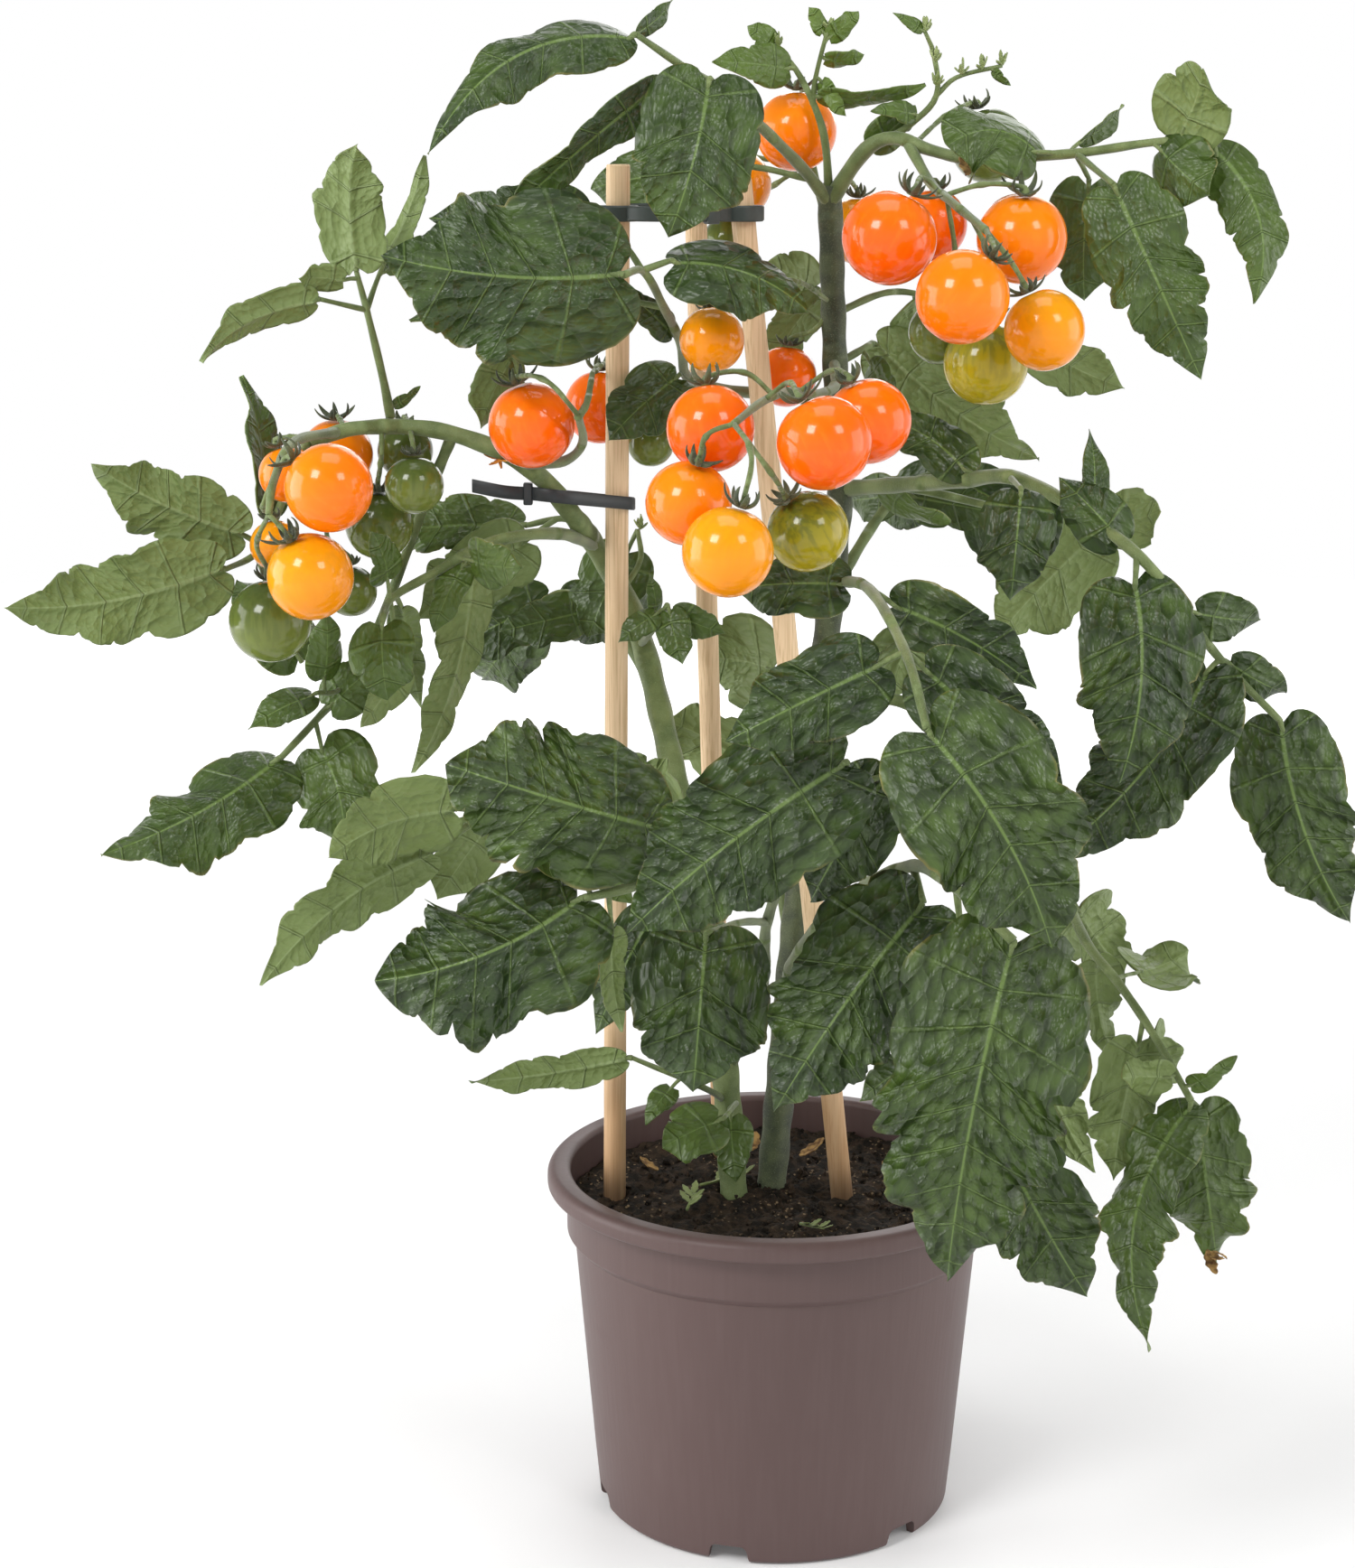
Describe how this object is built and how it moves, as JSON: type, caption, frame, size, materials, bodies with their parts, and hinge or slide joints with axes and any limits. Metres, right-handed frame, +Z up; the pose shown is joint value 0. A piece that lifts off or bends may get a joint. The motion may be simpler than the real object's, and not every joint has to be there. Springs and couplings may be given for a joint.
{
  "type": "potted cherry tomato plant",
  "caption": "Potted cherry tomato plant with ripening trusses, tied to bamboo canes that a plastic ring holds together at the top.",
  "frame": {"origin": "centre of the pot's underside, on the surface that the pot stands on", "axes": "+Z up along the pot's axis, +X to the right and -Y towards the viewer in the front view"},
  "size_m": [0.4571, 0.3485, 0.5485],
  "materials": {
    "bamboo": "pale bamboo with lengthwise grain and darker nodes",
    "ring_plastic": "dark green-grey moulded plastic",
    "foliage": "green leaves, stems and sepals, finely hairy",
    "pot_plastic": "taupe moulded plastic, satin, with fine vertical streaks",
    "potting_soil": "dark brown crumbly peat",
    "tie_plastic": "dark flexible plant tie",
    "tomato_orange": "glossy tomato skin, orange",
    "tomato_amber": "glossy tomato skin, yellow-orange",
    "tomato_green": "glossy unripe tomato skin, green",
    "tomato_red": "glossy ripe tomato skin, red-orange",
    "tomato_turning": "glossy tomato skin, yellow-green turning orange"
  },
  "bodies": {
    "root": {"cane_back": "bamboo", "cane_left": "bamboo", "cane_right": "bamboo", "cane_ring": "ring_plastic", "frond_back_left": "foliage", "frond_back_low": "foliage", "frond_back_right": "foliage", "frond_centre": "foliage", "frond_centre_low": "foliage", "frond_crown_left": "foliage", "frond_crown_right": "foliage", "frond_drooping_right": "foliage", "frond_far_left": "foliage", "frond_far_left_up": "foliage", "frond_left_low": "foliage", "frond_left_mid": "foliage", "frond_left_pale": "foliage", "frond_low_left": "foliage", "frond_low_right": "foliage", "frond_right": "foliage", "frond_upper_left": "foliage", "pot": "pot_plastic", "soil": "potting_soil", "stem_left": "foliage", "stem_right": "foliage", "stem_tie": "tie_plastic", "tomato_a1": "tomato_orange", "tomato_a2": "tomato_amber", "tomato_a3": "tomato_green", "tomato_b1": "tomato_red", "tomato_b2": "tomato_red", "tomato_b3": "tomato_orange", "tomato_b4": "tomato_orange", "tomato_b5": "tomato_amber", "tomato_b6": "tomato_turning", "tomato_b7": "tomato_green", "tomato_b8": "tomato_amber", "tomato_b9": "tomato_green", "tomato_c1": "tomato_red", "tomato_c2": "tomato_orange", "tomato_c3": "tomato_amber", "tomato_c4": "tomato_red", "tomato_c5": "tomato_red", "tomato_c6": "tomato_turning", "tomato_c7": "tomato_amber", "tomato_c8": "tomato_red", "tomato_c9": "tomato_green", "tomato_d1": "tomato_red", "tomato_d2": "tomato_red", "tomato_e1": "tomato_orange", "tomato_e10": "tomato_green", "tomato_e2": "tomato_amber", "tomato_e3": "tomato_green", "tomato_e4": "tomato_orange", "tomato_e5": "tomato_orange", "tomato_e6": "tomato_amber", "tomato_e7": "tomato_green", "tomato_e8": "tomato_green", "tomato_e9": "tomato_green"}
  },
  "joints": []
}
